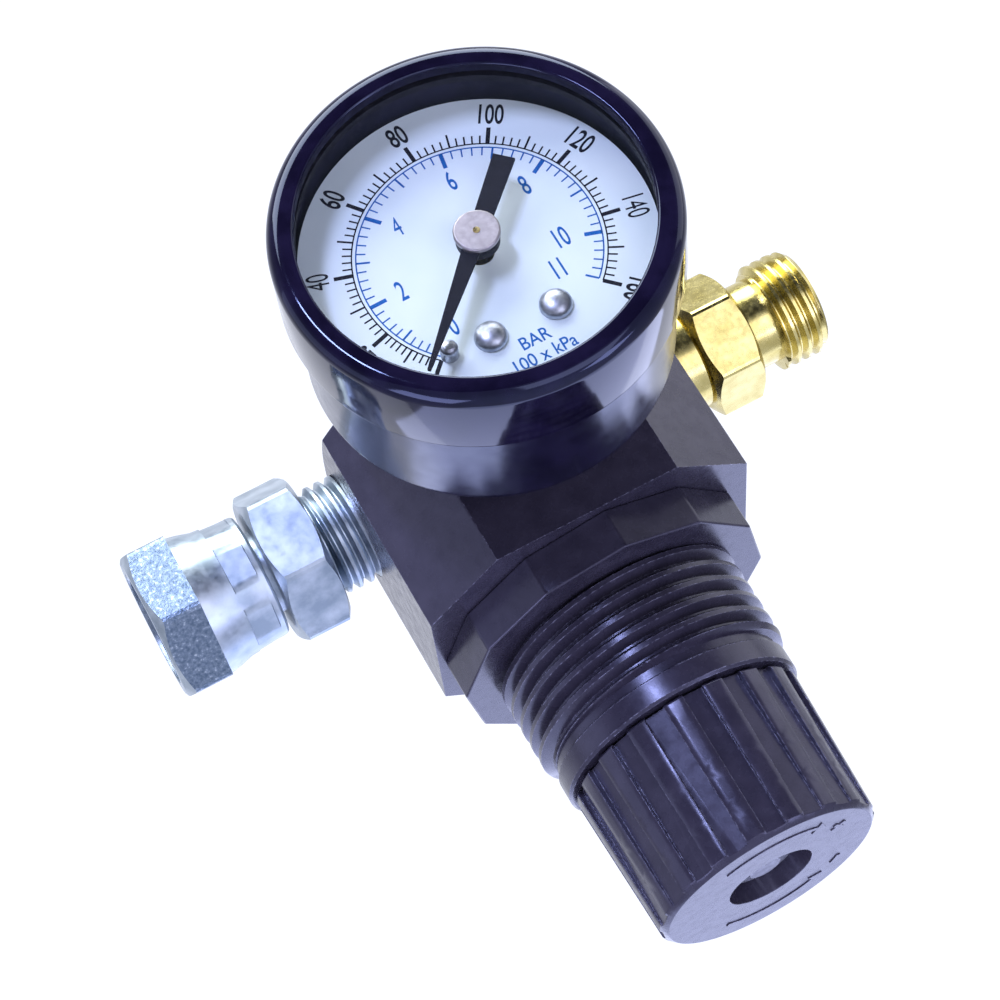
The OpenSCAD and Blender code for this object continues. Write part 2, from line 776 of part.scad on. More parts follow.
// Blade at the zero mark, with its broad tail on the far side of the hub
module pointer() {
  blade_len = 16.4;
  tail_len = 9.6;
  root_half_w = 1.1;
  boss_deep = 1.2;
  color("#101014") forward(pointer_d) rotate([0, 0, pointer_sweep / 2]) difference() {
    union() {
      translate([0, 0, -boss_deep]) cylinder(r = 2.3, h = boss_deep + pointer_t);
      linear_extrude(pointer_t) polygon([
        [-root_half_w, -0.5], [-0.18, blade_len], [0.18, blade_len], [root_half_w, -0.5]
      ]);
      linear_extrude(pointer_t) polygon([
        [-0.95, 0.5], [-1.2, -tail_len], [1.2, -tail_len], [0.95, 0.5]
      ]);
    }
    translate([0, 0, -boss_deep - over]) cylinder(r = arbor_r, h = boss_deep + pointer_t + 2 * over);
  }
}

// Disc that presses the pointer onto the arbor's thin end
module pointer_cap() {
  cap_r = 2.45;
  cap_t = 0.6;
  color(zinc_steel) forward(pointer_d + pointer_t) rotate_extrude() polygon([
    [arbor_tip_r, 0], [cap_r, 0], [cap_r, cap_t - 0.15], [cap_r - 0.15, cap_t], [arbor_tip_r, cap_t]
  ]);
}

function spin(p, a) = [p[0] * cos(a) - p[1] * sin(a), p[0] * sin(a) + p[1] * cos(a)];

module pinion_shaft() {
  root_r = pinion_r - 1.4 * tooth_module;
  tip_r = pinion_r + 0.9 * tooth_module;
  outline = [
    for (i = [0 : pinion_teeth - 1])
      for (p = [[root_r, -0.17], [tip_r, -0.06], [tip_r, 0.06], [root_r, 0.17]])
        spin(p, -90 + i * 360 / pinion_teeth)
  ];
  color("silver") {
    forward(back_plate_d0 + 0.1)
      cylinder(r = arbor_r, h = pointer_d + pointer_t - back_plate_d0 - 0.1);
    forward(pointer_d) cylinder(r = arbor_tip_r, h = arbor_end - pointer_d);
    forward(pinion_d0) linear_extrude(pinion_w) polygon(outline);
  }
}

module sector_gear() {
  root_r = sector_r - 1.4 * tooth_module;
  tip_r = sector_r + 0.9 * tooth_module;
  pitch = 360 / sector_teeth;
  half = 6;
  start = -sector_sweep / 2;
  rim_half = (half + 0.5) * pitch;
  color(brass_yellow) forward(sector_d0) translate([0, -sector_drop, 0]) rotate([0, 0, start]) {
    linear_extrude(sector_d1 - sector_d0) difference() {
      union() {
        circle(r = 1.7);
        polygon(concat(
          [[0, 0]],
          [for (k = [-half : half])
            for (p = [[-0.15, root_r], [-0.06, tip_r], [0.06, tip_r], [0.15, root_r]])
              spin(p, -k * pitch)]
        ));
        translate([-tail_r, -tail_half_w]) square([tail_r, 2 * tail_half_w]);
      }
      circle(r = sector_arbor_r);
    }
    translate([-tail_r, 0, 0]) {
      cylinder(r = tail_half_w, h = sector_d1 - sector_d0);
      translate([0, 0, link_d0 - 0.2 - sector_d0]) cylinder(r = tail_pin_r, h = sector_d0 - link_d0 + 0.2);
    }
  }
}

module sector_shaft() {
  color("silver") forward(back_plate_d0 - 0.2) translate([0, -sector_drop, 0])
    cylinder(r = sector_arbor_r, h = front_plate_d1 - back_plate_d0 + 0.5);
}

// Outline shared by both movement plates, with its bearing and pillar holes
module plate_outline() {
  difference() {
    polygon([
      [-2.2, 6.2], [2.2, 6.2], [3.2, 0], [6.4, -7.6], [6.4, -10.2], [5.4, -11.4],
      [-5.4, -11.4], [-6.4, -10.2], [-6.4, -7.6], [-3.2, 0]
    ]);
    circle(r = arbor_r + run_gap);
    translate([0, -sector_drop]) circle(r = sector_arbor_r + run_gap);
  }
}

module movement_front_plate() {
  color(brass_yellow) forward(front_plate_d0) linear_extrude(front_plate_d1 - front_plate_d0) difference() {
    plate_outline();
    for (side = [-1, 1]) translate([side * screw_x, -screw_drop]) circle(r = 0.8);
  }
}

module movement_back_plate() {
  color(brass_yellow) forward(back_plate_d0) linear_extrude(back_plate_d1 - back_plate_d0) plate_outline();
}

module movement_pillar(x, y) {
  color(brass_yellow) forward(back_plate_d1) translate([x, y, 0])
    cylinder(r = pillar_r, h = front_plate_d0 - back_plate_d1);
}

module movement_pillar_left() {
  movement_pillar(-pillar_x, -pillar_drop);
}

module movement_pillar_right() {
  movement_pillar(pillar_x, -pillar_drop);
}

module movement_pillar_top() {
  movement_pillar(0, pillar_top);
}

module hairspring() {
  turns = 4;
  per_turn = 16;
  strip = 0.12;
  inner_r = 1.1;
  growth = 2;
  steps = turns * per_turn;
  spiral = [for (i = [0 : steps]) [inner_r + growth * i / steps, i * 360 / per_turn]];
  edge = [for (p = spiral) [p[0] * cos(p[1]), p[0] * sin(p[1])]];
  back_edge = [
    for (i = [steps : -1 : 0])
      [(spiral[i][0] + strip) * cos(spiral[i][1]), (spiral[i][0] + strip) * sin(spiral[i][1])]
  ];
  color("silver") forward(hairspring_d) linear_extrude(hairspring_w) polygon(concat(edge, back_edge));
}

module bourdon_tube() {
  color(brass_yellow) forward(tube_mid_d) rotate([0, 0, tube_root_angle]) rotate_extrude(angle = tube_sweep)
    translate([tube_r, 0]) difference() {
      square([tube_t, tube_w], center = true);
      square([tube_t - 0.8, tube_w - 0.8], center = true);
    }
}

module tube_tip() {
  color(brass_yellow) {
    forward(tube_mid_d) rotate([0, 0, tube_root_angle + tube_sweep])
      translate([tube_r - 1.9, 0, -tube_w / 2])
      cube([2.9, 2.2, tube_w / 2 + link_d0 - tube_mid_d - 0.1]);
    forward(link_d0 - 0.4) translate([tip_x, -tip_drop, 0]) cylinder(r = 0.4, h = 1.2);
  }
}

module gauge_link() {
  slot_top = -sector_drop + tail_r * sin(sector_sweep / 2);
  slot_low = -sector_drop - tail_r * sin(sector_sweep / 2);
  color("silver") forward(link_d0) linear_extrude(link_d1 - link_d0) difference() {
    polygon([
      [link_x - 1.2, slot_top + 1.2], [link_x + 1.2, slot_top + 1.2], [link_x + 1.2, slot_low - 1],
      [tip_x + 0.9, -tip_drop - 0.9], [tip_x - 0.9, -tip_drop - 0.9], [link_x - 1.2, slot_low - 1]
    ]);
    translate([link_x - 0.65, slot_low - 0.6]) square([1.3, slot_top - slot_low + 1.2]);
    translate([tip_x, -tip_drop]) circle(r = 0.45);
  }
}

body();
bonnet();
valve_plug();
plug_o_ring();
rear_port_plug();
inlet_nipple();
inlet_o_ring();
outlet_nipple();
nut_ring();
swivel_nut();
adjusting_knob();
adjusting_screw();
knob_clip();
spring_nut();
range_spring();
diaphragm_plate();
relief_seat();
diaphragm();
valve_stem();
valve_disc();
valve_spring();
gauge_socket();
socket_washer();
gauge_case();
gauge_bezel();
gauge_window();
window_gasket();
gauge_dial();
dial_screw_left();
dial_screw_right();
stop_pin();
pointer();
pointer_cap();
pinion_shaft();
sector_gear();
sector_shaft();
movement_front_plate();
movement_back_plate();
movement_pillar_left();
movement_pillar_right();
movement_pillar_top();
hairspring();
bourdon_tube();
tube_tip();
gauge_link();
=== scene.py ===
"""Looks of an inline air pressure regulator: threads, dial, knob, materials, light and camera."""
import json
import math

import bmesh
import bpy
from mathutils import Matrix, Vector


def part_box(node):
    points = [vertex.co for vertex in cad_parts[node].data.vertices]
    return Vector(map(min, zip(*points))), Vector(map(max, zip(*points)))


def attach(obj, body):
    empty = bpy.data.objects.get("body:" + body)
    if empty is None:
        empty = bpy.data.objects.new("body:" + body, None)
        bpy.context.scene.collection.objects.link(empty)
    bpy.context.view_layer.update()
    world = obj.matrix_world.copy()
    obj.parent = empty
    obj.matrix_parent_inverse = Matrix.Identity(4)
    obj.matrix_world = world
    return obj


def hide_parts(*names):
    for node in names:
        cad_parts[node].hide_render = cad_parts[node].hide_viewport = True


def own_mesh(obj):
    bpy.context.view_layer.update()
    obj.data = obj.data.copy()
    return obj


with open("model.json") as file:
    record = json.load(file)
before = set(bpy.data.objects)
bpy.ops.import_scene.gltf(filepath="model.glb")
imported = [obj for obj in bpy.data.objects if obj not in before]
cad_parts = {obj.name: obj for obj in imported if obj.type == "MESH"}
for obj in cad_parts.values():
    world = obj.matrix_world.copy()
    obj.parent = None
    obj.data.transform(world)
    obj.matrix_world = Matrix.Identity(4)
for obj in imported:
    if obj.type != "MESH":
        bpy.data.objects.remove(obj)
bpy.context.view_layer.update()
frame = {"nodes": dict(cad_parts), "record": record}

MM = 0.001
HOUSING = "regulator"

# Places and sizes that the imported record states
MOUNTS = {mount["name"]: mount for mount in frame["record"]["mounts"]}
AXIS_Z = MOUNTS["inlet_thread"]["pos_m"][2]
PANEL_R = MOUNTS["panel_thread"]["dims"]["r_mm"] * MM
PANEL_LEN = MOUNTS["panel_thread"]["dims"]["length_mm"] * MM
PIPE_R = MOUNTS["inlet_thread"]["dims"]["r_mm"] * MM
PIPE_LEN = MOUNTS["inlet_thread"]["dims"]["length_mm"] * MM
FEMALE_R = MOUNTS["outlet_thread"]["dims"]["r_mm"] * MM

# Threads
PANEL_PITCH = 2.117 * MM
PIPE_PITCH = 1.411 * MM
PANEL_DEPTH = 1.15 * MM
PIPE_DEPTH = 0.75 * MM

# Turn of the gauge's zero mark, in degrees clockwise from the top
ZERO_TURN = -135

# Height of the floor's top
FLOOR_Z = -0.6

# Viewpoint
CAMERA_PLACE = Vector((-58.3, -302.2, -122.3)) * MM
CAMERA_RIGHT = Vector((0.879, 0.065, -0.473))
CAMERA_UP = Vector((0.449, -0.447, 0.774))
CAMERA_LENS = 106.2


# ---- places ------------------------------------------------------------------------------------

def along_inlet():
    """Local +Z runs along +X on the port axis, from the spring axis."""
    return Matrix.Translation((0, 0, AXIS_Z)) @ Matrix.Rotation(math.radians(90), 4, "Y")


def along_outlet():
    """Local +Z runs along -X on the port axis, from the spring axis."""
    return Matrix.Translation((0, 0, AXIS_Z)) @ Matrix.Rotation(math.radians(-90), 4, "Y")


def gauge_forward():
    """Local +Z runs forward on the gauge axis: x to the right and y up, as the dial is read."""
    return Matrix.Translation((0, 0, AXIS_Z)) @ Matrix.Rotation(math.radians(90), 4, "X")


# ---- mesh building -----------------------------------------------------------------------------

def mesh_object(name, points, faces, sharp_angle=32):
    """Object from points and faces: doubles merged, outward normals, edges past the angle sharp."""
    merge = 1e-7
    shape = bmesh.new()
    corners = [shape.verts.new(p) for p in points]
    for face in faces:
        if len(set(face)) > 2:
            shape.faces.new([corners[i] for i in face])
    bmesh.ops.remove_doubles(shape, verts=shape.verts, dist=merge)
    bmesh.ops.dissolve_degenerate(shape, edges=shape.edges, dist=merge)
    bmesh.ops.recalc_face_normals(shape, faces=shape.faces)
    limit = math.radians(sharp_angle)
    for edge in shape.edges:
        edge.smooth = len(edge.link_faces) == 2 and edge.calc_face_angle(0) < limit
    for face in shape.faces:
        face.smooth = True
    mesh = bpy.data.meshes.new(name)
    shape.to_mesh(mesh)
    shape.free()
    piece = bpy.data.objects.new(name, mesh)
    bpy.context.scene.collection.objects.link(piece)
    return piece


def grid_faces(rows, columns, wrap_rows, wrap_columns):
    """Quads of a grid whose rows and columns may each close on themselves."""
    faces = []
    for row in range(rows if wrap_rows else rows - 1):
        for column in range(columns if wrap_columns else columns - 1):
            next_row, next_column = (row + 1) % rows, (column + 1) % columns
            faces.append((row * columns + column, row * columns + next_column,
                          next_row * columns + next_column, next_row * columns + column))
    return faces


def lathe(name, place, profile, sides=192):
    """Ring solid from a closed profile of (radius, height) points in metres."""
    turns = [2 * math.pi * i / sides for i in range(sides)]
    points = [place @ Vector((r * math.cos(a), r * math.sin(a), h)) for r, h in profile for a in turns]
    return mesh_object(name, points, grid_faces(len(profile), sides, True, True))


def arc(centre_r, centre_h, radius, start, end, steps):
    """Profile points along a circular arc, angles in degrees from the outward direction."""
    turns = [math.radians(start + (end - start) * i / steps) for i in range(steps + 1)]
    return [(centre_r + radius * math.cos(a), centre_h + radius * math.sin(a)) for a in turns]


def helix(name, place, crest_r, root_r, wall_r, pitch, start, end, relief):
    """Threaded sleeve along local +Z, closed at wall_r. relief is the bevel at the far end."""
    sides = 160
    # Shares of the pitch where the flat crest, its rounded edge, the flank and the root begin
    rounded_r = crest_r + 0.12 * (root_r - crest_r)
    stops = ((0, crest_r), (0.26, crest_r), (0.30, rounded_r),
             (0.58, root_r), (0.68, root_r), (0.96, rounded_r))
    turns = math.ceil((end - start) / pitch) + 1
    rows = [[(wall_r, start)] * (sides + 1)]
    for turn in range(-1, turns):
        for share, radius in stops:
            row = []
            for i in range(sides + 1):
                height = start + (turn + share + i / sides) * pitch
                held = min(max(height, start), end)
                room = max(0.0, 1 - (end - held) / relief)
                radius_here = root_r if held != height else radius + (root_r - radius) * room
                row.append((radius_here, held))
            rows.append(row)
    rows.append([(wall_r, end)] * (sides + 1))
    points = []
    for row in rows:
        for i, (radius, height) in enumerate(row):
            angle = 2 * math.pi * (i % sides) / sides
            points.append(place @ Vector((radius * math.cos(angle), radius * math.sin(angle), height)))
    return mesh_object(name, points, grid_faces(len(rows), sides + 1, True, False), 24)


def turned_hex(name, place, across_flats, low, high, turn, bore_r, turned_off, square_low=False):
    """Hex bar with a round bore and ends turned to a 30 degree chamfer, the low one if not square."""
    per_side, dulled = 24, 0.12 * MM
    apothem = across_flats / 2
    corner = apothem / math.cos(math.radians(30)) - dulled
    flat_r = apothem - turned_off
    slope = math.tan(math.radians(30))
    inner_low, inner_high, low_rim, low_edge, high_edge, high_rim = [], [], [], [], [], []
    for i in range(6 * per_side):
        from_flat = math.radians(60 * (i % per_side) / per_side - 30)
        angle = math.radians(turn) + 2 * math.pi * i / (6 * per_side)
        radius = min(apothem / math.cos(from_flat), corner)
        drop = max(0.0, radius - flat_r) * slope
        low_drop = 0.0 if square_low else drop
        rings = ((inner_low, bore_r, low), (low_rim, flat_r, low), (low_edge, radius, low + low_drop),
                 (high_edge, radius, high - drop), (high_rim, flat_r, high), (inner_high, bore_r, high))
        for ring, r, h in rings:
            ring.append(place @ Vector((r * math.cos(angle), r * math.sin(angle), h)))
    points = inner_low + low_rim + low_edge + high_edge + high_rim + inner_high
    return mesh_object(name, points, grid_faces(6, 6 * per_side, True, True), 12)


def polygon_ring(name, corner_r, bore_r, low, high, sides, turn):
    """Regular prism about the spring axis with a round bore; its first corner is at turn."""
    per_side = 12
    outer, inner = [], []
    for i in range(sides * per_side):
        from_flat = math.pi * (2 * (i % per_side) / per_side - 1) / sides
        radius = corner_r * math.cos(math.pi / sides) / math.cos(from_flat)
        angle = math.radians(turn + 360 * (i // per_side) / sides) + from_flat + math.pi / sides
        outer.append((radius * math.cos(angle), radius * math.sin(angle)))
        inner.append((bore_r * math.cos(angle), bore_r * math.sin(angle)))
    rings = ((inner, low), (outer, low), (outer, high), (inner, high))
    points = [Vector((x, y, height)) for ring, height in rings for x, y in ring]
    return mesh_object(name, points, grid_faces(4, sides * per_side, True, True), 12)


def disc(name, radius, low, high, sides):
    """Flat round solid about the spring axis, between two heights."""
    turns = [2 * math.pi * i / sides for i in range(sides)]
    points = [Vector((radius * math.cos(a), radius * math.sin(a), h))
              for h in (low, high) for a in turns]
    faces = grid_faces(2, sides, False, True)
    faces += [tuple(range(sides)), tuple(range(sides, 2 * sides))]
    return mesh_object(name, points, faces)


def bevel(piece, width, segments=2, weld=False):
    """Rounded edges. weld joins the split corners of an imported CAD mesh first."""
    split_gap, softest_edge = 0.002 * MM, 28
    if weld:
        joiner = piece.modifiers.new("weld", "WELD")
        joiner.merge_threshold = split_gap
    rounder = piece.modifiers.new("bevel", "BEVEL")
    rounder.width = width
    rounder.segments = segments
    rounder.limit_method = "ANGLE"
    rounder.angle_limit = math.radians(softest_edge)
    rounder.harden_normals = True
    return piece


def join(name, pieces):
    """One object from several that all sit at the origin."""
    shape = bmesh.new()
    for piece in pieces:
        shape.from_mesh(piece.data)
        bpy.data.objects.remove(piece)
    mesh = bpy.data.meshes.new(name)
    shape.to_mesh(mesh)
    shape.free()
    joined = bpy.data.objects.new(name, mesh)
    bpy.context.scene.collection.objects.link(joined)
    return joined


# ---- materials ---------------------------------------------------------------------------------

class Finish:
    """A Principled material built up from procedural layers in object space."""

    def __init__(self, name, roughness, metallic=0.0, specular=0.5):
        self.material = bpy.data.materials.new(name)
        self.material.use_nodes = True
        self.nodes = self.material.node_tree.nodes
        self.links = self.material.node_tree.links
        self.shader = self.nodes["Principled BSDF"]
        self.shader.inputs["Metallic"].default_value = metallic
        self.shader.inputs["Specular IOR Level"].default_value = specular
        self.shader.inputs["Roughness"].default_value = roughness
        self.place = self.nodes.new("ShaderNodeTexCoord").outputs["Object"]
        self.normal = None

    def set(self, socket, value):
        self.shader.inputs[socket].default_value = value
        return self

    def noise(self, scale, detail=4.0, stretch=(1, 1, 1)):
        """Noise value; scale is in cells per millimetre."""
        spread = self.nodes.new("ShaderNodeVectorMath")
        spread.operation = "MULTIPLY"
        spread.inputs[1].default_value = stretch
        self.links.new(self.place, spread.inputs[0])
        noise = self.nodes.new("ShaderNodeTexNoise")
        noise.inputs["Scale"].default_value = scale / MM
        noise.inputs["Detail"].default_value = detail
        noise.inputs["Roughness"].default_value = 0.55
        self.links.new(spread.outputs[0], noise.inputs["Vector"])
        return noise.outputs["Fac"]

    def ramp(self, value, stops):
        """Colour ramp of (position, (r, g, b)) stops."""
        ramp = self.nodes.new("ShaderNodeValToRGB")
        elements = ramp.color_ramp.elements
        while len(elements) < len(stops):
            elements.new(0.5)
        for element, (position, colour) in zip(elements, stops):
            element.position = position
            element.color = (*colour, 1)
        self.links.new(value, ramp.inputs[0])
        return ramp.outputs["Color"]

    def spread(self, value, low, high):
        """The value's middle half mapped to a range."""
        mapped = self.nodes.new("ShaderNodeMapRange")
        mapped.inputs["From Min"].default_value = 0.3
        mapped.inputs["From Max"].default_value = 0.7
        mapped.inputs["To Min"].default_value = low
        mapped.inputs["To Max"].default_value = high
        self.links.new(value, mapped.inputs["Value"])
        return mapped.outputs["Result"]

    def colour(self, scale, stops, **noise):
        self.links.new(self.ramp(self.noise(scale, **noise), stops), self.shader.inputs["Base Color"])
        return self

    def roughness(self, scale, low, high, **noise):
        value = self.spread(self.noise(scale, **noise), low, high)
        self.links.new(value, self.shader.inputs["Roughness"])
        return self

    def bump(self, scale, height, **noise):
        """Relief of the given height in millimetres."""
        bump = self.nodes.new("ShaderNodeBump")
        bump.inputs["Strength"].default_value = 1
        bump.inputs["Distance"].default_value = height * MM
        self.links.new(self.noise(scale, **noise), bump.inputs["Height"])
        if self.normal:
            self.links.new(self.normal, bump.inputs["Normal"])
        self.normal = bump.outputs["Normal"]
        self.links.new(self.normal, self.shader.inputs["Normal"])
        return self

    def worn_edges(self, width, colour, amount, patches):
        """Broken bright edges, part wear and part painted highlight, where a normal rounded over width,
        in millimetres, leaves the true one.

        amount is the strongest wear and painted highlight, and patches the cells per millimetre of the
        noise that breaks it.
        """
        rounded = self.nodes.new("ShaderNodeBevel")
        rounded.samples = 4
        rounded.inputs["Radius"].default_value = width * MM
        geometry = self.nodes.new("ShaderNodeNewGeometry")
        agree = self.nodes.new("ShaderNodeVectorMath")
        agree.operation = "DOT_PRODUCT"
        self.links.new(rounded.outputs["Normal"], agree.inputs[0])
        self.links.new(geometry.outputs["Normal"], agree.inputs[1])
        edge = self.nodes.new("ShaderNodeMapRange")
        no_wear_or_highlight, full_wear_and_highlight = 0.985, 0.93
        edge.inputs["From Min"].default_value = no_wear_or_highlight
        edge.inputs["From Max"].default_value = full_wear_and_highlight
        edge.inputs["To Max"].default_value = amount
        self.links.new(agree.outputs["Value"], edge.inputs["Value"])
        broken = self.nodes.new("ShaderNodeMath")
        broken.operation = "MULTIPLY"
        self.links.new(edge.outputs["Result"], broken.inputs[0])
        self.links.new(self.spread(self.noise(patches, detail=6), -0.6, 1.2), broken.inputs[1])
        broken.use_clamp = True
        blend = self.nodes.new("ShaderNodeMix")
        blend.data_type = "RGBA"
        self.links.new(broken.outputs[0], blend.inputs["Factor"])
        self.links.new(self.shader.inputs["Base Color"].links[0].from_socket, blend.inputs["A"])
        # The edge colour is part wear, part painted highlight
        blend.inputs["B"].default_value = (*colour, 1)
        self.links.new(blend.outputs["Result"], self.shader.inputs["Base Color"])
        return self


def moulded_plastic():
    finish = Finish("moulded_plastic", 0.3)
    finish.set("Specular Tint", (0.72, 0.74, 1.0, 1))
    finish.colour(0.35, [(0.35, (0.024, 0.021, 0.036)), (0.65, (0.034, 0.03, 0.049))])
    finish.roughness(0.8, 0.2, 0.32).bump(4, 0.0005).bump(0.4, 0.004)
    # Bright lavender edges: part wear, part painted highlight along the moulded edges
    finish.worn_edges(0.13, (0.4, 0.4, 0.56), 0.75, 1.6)
    return finish.material


def gloss_enamel(name, smooth, dull, index):
    finish = Finish(name, smooth)
    finish.set("Specular Tint", (0.58, 0.68, 1.0, 1)).set("IOR", index)
    finish.colour(0.2, [(0.4, (0.004, 0.003, 0.012)), (0.6, (0.008, 0.006, 0.022))])
    finish.roughness(0.5, smooth, dull).bump(0.12, 0.003)
    return finish.material


def matt_lining():
    finish = Finish("matt_lining", 0.6, specular=0.15)
    finish.colour(0.3, [(0.4, (0.004, 0.004, 0.014)), (0.6, (0.008, 0.008, 0.024))])
    finish.roughness(0.8, 0.5, 0.7).bump(2, 0.002)
    return finish.material


def turned_zinc():
    finish = Finish("turned_zinc", 0.2, metallic=1)
    finish.colour(0.3, [(0.35, (0.28, 0.34, 0.4)), (0.65, (0.5, 0.56, 0.62))])
    finish.roughness(1.2, 0.32, 0.44).bump(9, 0.0015, stretch=(1, 0.02, 0.02), detail=1)
    return finish.material


def blasted_zinc():
    finish = Finish("blasted_zinc", 0.36, metallic=1)
    finish.colour(2.2, [(0.35, (0.1, 0.14, 0.19)), (0.6, (0.2, 0.25, 0.31)), (0.7, (0.5, 0.56, 0.62))],
                  detail=6)
    finish.roughness(3, 0.3, 0.45).bump(3.2, 0.05, detail=5)
    return finish.material


def turned_brass():
    finish = Finish("turned_brass", 0.2, metallic=1)
    finish.colour(0.4, [(0.35, (0.5, 0.41, 0.13)), (0.65, (0.66, 0.56, 0.22))])
    finish.roughness(1.5, 0.18, 0.32).bump(9, 0.004, stretch=(1, 0.02, 0.02), detail=1)
    return finish.material


def plain_brass():
    finish = Finish("plain_brass", 0.3, metallic=1)
    finish.colour(0.5, [(0.35, (0.6, 0.46, 0.18)), (0.65, (0.72, 0.58, 0.26))])
    finish.roughness(2, 0.22, 0.38).bump(5, 0.003)
    return finish.material


def drawn_steel():
    finish = Finish("drawn_steel", 0.25, metallic=1)
    finish.colour(0.6, [(0.35, (0.5, 0.52, 0.56)), (0.65, (0.64, 0.66, 0.7))])
    finish.roughness(2, 0.18, 0.34).bump(6, 0.002)
    return finish.material


def polished_steel():
    finish = Finish("polished_steel", 0.1, metallic=1)
    finish.colour(0.8, [(0.4, (0.32, 0.34, 0.4)), (0.6, (0.52, 0.55, 0.62))])
    finish.roughness(2, 0.34, 0.46).bump(4, 0.0008)
    return finish.material


def dull_steel():
    finish = Finish("dull_steel", 0.5, metallic=1)
    # Steel darker than its own tone: painted shade for the parts deep in the knob's bore
    finish.colour(1.2, [(0.35, (0.16, 0.16, 0.19)), (0.65, (0.26, 0.26, 0.3))])
    finish.roughness(3, 0.42, 0.6).bump(6, 0.004)
    return finish.material


def satin_nickel():
    finish = Finish("satin_nickel", 0.4, metallic=0.8)
    finish.colour(1.5, [(0.35, (0.34, 0.31, 0.32)), (0.65, (0.44, 0.4, 0.42))])
    finish.roughness(4, 0.34, 0.48).bump(9, 0.002)
    return finish.material


def turned_aluminium():
    finish = Finish("turned_aluminium", 0.32, metallic=1)
    finish.colour(0.6, [(0.35, (0.66, 0.67, 0.69)), (0.65, (0.76, 0.77, 0.79))])
    finish.roughness(2, 0.25, 0.4).bump(6, 0.002)
    return finish.material


def black_rubber():
    finish = Finish("black_rubber", 0.65, specular=0.12)
    finish.colour(0.8, [(0.35, (0.005, 0.005, 0.009)), (0.65, (0.014, 0.014, 0.02))])
    finish.roughness(2, 0.5, 0.75).bump(6, 0.004)
    return finish.material


def dial_paint():
    finish = Finish("dial_paint", 0.45)
    finish.colour(0.12, [(0.35, (0.66, 0.76, 0.8)), (0.65, (0.72, 0.81, 0.84))])
    finish.roughness(3, 0.38, 0.5).bump(8, 0.001)
    return finish.material


def ink(name, dark, light):
    finish = Finish(name, 0.5, specular=0.08)
    finish.colour(2.5, [(0.35, dark), (0.65, light)])
    finish.roughness(3, 0.4, 0.6).bump(8, 0.001)
    return finish.material


def clear_glass():
    finish = Finish("clear_glass", 0.03)
    finish.set("Alpha", 0.02).set("IOR", 1.5)
    finish.colour(0.1, [(0.4, (0.16, 0.19, 0.22)), (0.6, (0.2, 0.23, 0.26))])
    finish.roughness(0.5, 0.02, 0.05)
    return finish.material


def pale_washer():
    finish = Finish("pale_washer", 0.5)
    finish.colour(0.8, [(0.35, (0.68, 0.65, 0.58)), (0.65, (0.78, 0.76, 0.7))])
    finish.roughness(2, 0.4, 0.6).bump(5, 0.003)
    return finish.material


FINISH = {
    "black_plastic": moulded_plastic(),
    "gloss_black": gloss_enamel("bezel_enamel", 0.06, 0.11, 1.45),
    "zinc_steel": turned_zinc(),
    "brass": turned_brass(),
    "spring_steel": drawn_steel(),
    "aluminium": turned_aluminium(),
    "rubber": black_rubber(),
    "dial": dial_paint(),
    "pointer_black": ink("pointer_paint", (0.003, 0.003, 0.008), (0.008, 0.008, 0.016)),
    "window": clear_glass(),
    "seal": pale_washer(),
}
BLASTED = blasted_zinc()
POLISHED = polished_steel()
MOVEMENT_BRASS = plain_brass()
SATIN = satin_nickel()
BORE_SHADED_STEEL = dull_steel()
LINING = matt_lining()
CASE_ENAMEL = gloss_enamel("case_enamel", 0.17, 0.24, 1.75)
BLACK_INK = ink("black_ink", (0.003, 0.003, 0.008), (0.01, 0.01, 0.018))
BLUE_INK = ink("blue_ink", (0.006, 0.09, 0.34), (0.012, 0.13, 0.44))


def dress(piece, slot, body=HOUSING, material=None, replaces=()):
    """Material, picked by slot unless given, and body of a new piece; hides the CAD nodes that it
    stands for.
    """
    piece.data.materials.clear()
    piece.data.materials.append(material or FINISH[slot])
    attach(piece, body)
    if replaces:
        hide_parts(*replaces)
    return piece


def dress_cad_nodes():
    """Every CAD node takes its slot's finish; the gauge movement's brass is duller."""
    slots = {part["node"]: part["material_slot"] for part in frame["record"]["subparts"]}
    for name, node in frame["nodes"].items():
        material = FINISH[slots[name]]
        if name.startswith(("movement", "bourdon", "tube_tip", "sector_gear", "gauge_socket")):
            material = MOVEMENT_BRASS
        node.data.materials.clear()
        node.data.materials.append(material)


# ---- body and bonnet ---------------------------------------------------------------------------

def finish_body():
    bevel(frame["nodes"]["body"], 0.3 * MM, 3, weld=True)


